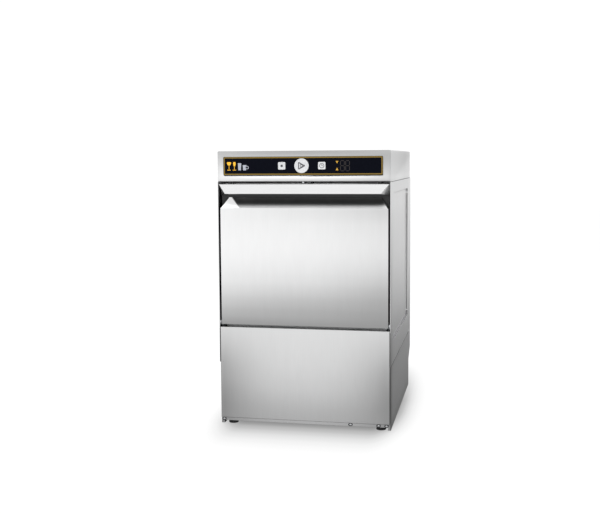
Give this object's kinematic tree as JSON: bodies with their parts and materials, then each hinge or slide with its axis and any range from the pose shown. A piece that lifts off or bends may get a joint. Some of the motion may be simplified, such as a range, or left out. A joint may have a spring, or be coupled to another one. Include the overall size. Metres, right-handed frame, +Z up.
{
  "type": "undercounter glass washer",
  "caption": "Boxy stainless undercounter glass washer with a drop-down door, black touch strip, spray arms, pumps and levelling feet.",
  "frame": {"origin": "on the floor, under the middle of the machine's box", "axes": "+Z up, the door and controls face -Y, +X to the viewer's right"},
  "size_m": [0.455, 0.6, 0.73],
  "materials": {
    "casing_steel": "fine satin brushed, grain along the sheet",
    "chamber_steel": "satin",
    "fixing_steel": "bright zinc or stainless",
    "bracket_steel": "dark satin",
    "black_glass": "deep gloss, gold printed border",
    "white_key": "satin white, lit from behind",
    "rubber": "matt",
    "black_plastic": "satin moulded",
    "grey_plastic": "satin moulded",
    "blue_plastic": "satin moulded",
    "board": "solder resist",
    "motor_paint": "satin"
  },
  "bodies": {
    "cabinet": {"hood": "casing_steel", "front_panel": "casing_steel", "base_tray": "casing_steel", "rear_cover": "casing_steel", "side_panel_left": "casing_steel", "side_panel_right": "casing_steel", "base_side_left": "casing_steel", "base_side_right": "casing_steel", "wash_tank": "chamber_steel", "chamber_rear_wall": "chamber_steel", "chamber_ceiling": "chamber_steel", "tank_filter": "chamber_steel", "chamber_wall_left": "chamber_steel", "chamber_wall_right": "chamber_steel", "rack_rail_left": "chamber_steel", "rack_rail_right": "chamber_steel", "boiler": "chamber_steel", "hinge_pin_left": "fixing_steel", "hinge_pin_right": "fixing_steel", "door_spring_left": "fixing_steel", "door_spring_right": "fixing_steel", "tank_heater": "fixing_steel", "display_glass": "black_glass", "door_buffer_left": "rubber", "door_buffer_right": "rubber", "catch_housing": "black_plastic", "drain_pump": "black_plastic", "drain_hose": "black_plastic", "cable_gland": "black_plastic", "lower_arm_hub": "grey_plastic", "upper_arm_hub": "grey_plastic", "wash_pump_housing": "grey_plastic", "wash_pipe": "grey_plastic", "electrics_box": "grey_plastic", "inlet_valve": "blue_plastic", "detergent_pump": "blue_plastic", "rinse_aid_pump": "blue_plastic", "control_board": "board", "wash_pump_motor": "motor_paint"},
    "door": {"door_outer_skin": "casing_steel", "door_inner_skin": "chamber_steel", "door_handle": "casing_steel", "door_seal": "rubber", "hinge_arm_left": "bracket_steel", "hinge_arm_right": "bracket_steel"},
    "stop_button": {"stop_button": "white_key"},
    "start_button": {"start_button": "white_key"},
    "timer_button": {"timer_button": "white_key"},
    "catch_plunger": {"catch_plunger": "fixing_steel"},
    "lower_wash_arm": {"lower_wash_arm": "chamber_steel"},
    "lower_rinse_arm": {"lower_rinse_arm": "chamber_steel"},
    "upper_wash_arm": {"upper_wash_arm": "chamber_steel"},
    "upper_rinse_arm": {"upper_rinse_arm": "chamber_steel"},
    "pump_impeller": {"wash_pump_impeller": "black_plastic"},
    "detergent_rotor": {"detergent_rotor": "white_key"},
    "rinse_aid_rotor": {"rinse_aid_rotor": "white_key"},
    "foot_front_left": {"foot_front_left": "rubber"},
    "foot_front_right": {"foot_front_right": "rubber"},
    "foot_rear_left": {"foot_rear_left": "rubber"},
    "foot_rear_right": {"foot_rear_right": "rubber"}
  },
  "joints": [
    {"name": "door_hinge", "type": "hinge", "parent": "cabinet", "child": "door", "pos_m": [0, -0.279, 0.277], "axis": [1, 0, 0], "range_deg": [0, 90], "deforming": ["door_spring_left", "door_spring_right"]},
    {"name": "stop_button_press", "type": "slide", "parent": "cabinet", "child": "stop_button", "axis": [0, 1, 0], "range_m": [0, 0.0008], "stiffness_N_per_m": 1200, "springref_m": -0.0002},
    {"name": "start_button_press", "type": "slide", "parent": "cabinet", "child": "start_button", "axis": [0, 1, 0], "range_m": [0, 0.0008], "stiffness_N_per_m": 1200, "springref_m": -0.0002},
    {"name": "timer_button_press", "type": "slide", "parent": "cabinet", "child": "timer_button", "axis": [0, 1, 0], "range_m": [0, 0.0008], "stiffness_N_per_m": 1200, "springref_m": -0.0002},
    {"name": "catch_travel", "type": "slide", "parent": "cabinet", "child": "catch_plunger", "axis": [0, 0, 1], "range_m": [0, 0.004], "stiffness_N_per_m": 400, "springref_m": -0.002},
    {"name": "lower_wash_arm_spin", "type": "hinge", "parent": "cabinet", "child": "lower_wash_arm", "pos_m": [0, -0.048, 0.27], "axis": [0, 0, 1], "continuous": true},
    {"name": "lower_rinse_arm_spin", "type": "hinge", "parent": "cabinet", "child": "lower_rinse_arm", "pos_m": [0, -0.048, 0.27], "axis": [0, 0, 1], "continuous": true},
    {"name": "upper_wash_arm_spin", "type": "hinge", "parent": "cabinet", "child": "upper_wash_arm", "pos_m": [0, -0.048, 0.6], "axis": [0, 0, 1], "continuous": true},
    {"name": "upper_rinse_arm_spin", "type": "hinge", "parent": "cabinet", "child": "upper_rinse_arm", "pos_m": [0, -0.048, 0.6], "axis": [0, 0, 1], "continuous": true},
    {"name": "pump_spin", "type": "hinge", "parent": "cabinet", "child": "pump_impeller", "pos_m": [0, 0.06, 0.11], "axis": [1, 0, 0], "continuous": true},
    {"name": "detergent_spin", "type": "hinge", "parent": "cabinet", "child": "detergent_rotor", "pos_m": [-0.158, -0.25, 0.118], "axis": [0, 1, 0], "continuous": true},
    {"name": "rinse_aid_spin", "type": "hinge", "parent": "cabinet", "child": "rinse_aid_rotor", "pos_m": [-0.088, -0.25, 0.118], "axis": [0, 1, 0], "continuous": true},
    {"name": "foot_front_left_level", "type": "slide", "parent": "cabinet", "child": "foot_front_left", "axis": [0, 0, -1], "range_m": [0, 0.02]},
    {"name": "foot_front_right_level", "type": "slide", "parent": "cabinet", "child": "foot_front_right", "axis": [0, 0, -1], "range_m": [0, 0.02]},
    {"name": "foot_rear_left_level", "type": "slide", "parent": "cabinet", "child": "foot_rear_left", "axis": [0, 0, -1], "range_m": [0, 0.02]},
    {"name": "foot_rear_right_level", "type": "slide", "parent": "cabinet", "child": "foot_rear_right", "axis": [0, 0, -1], "range_m": [0, 0.02]}
  ]
}
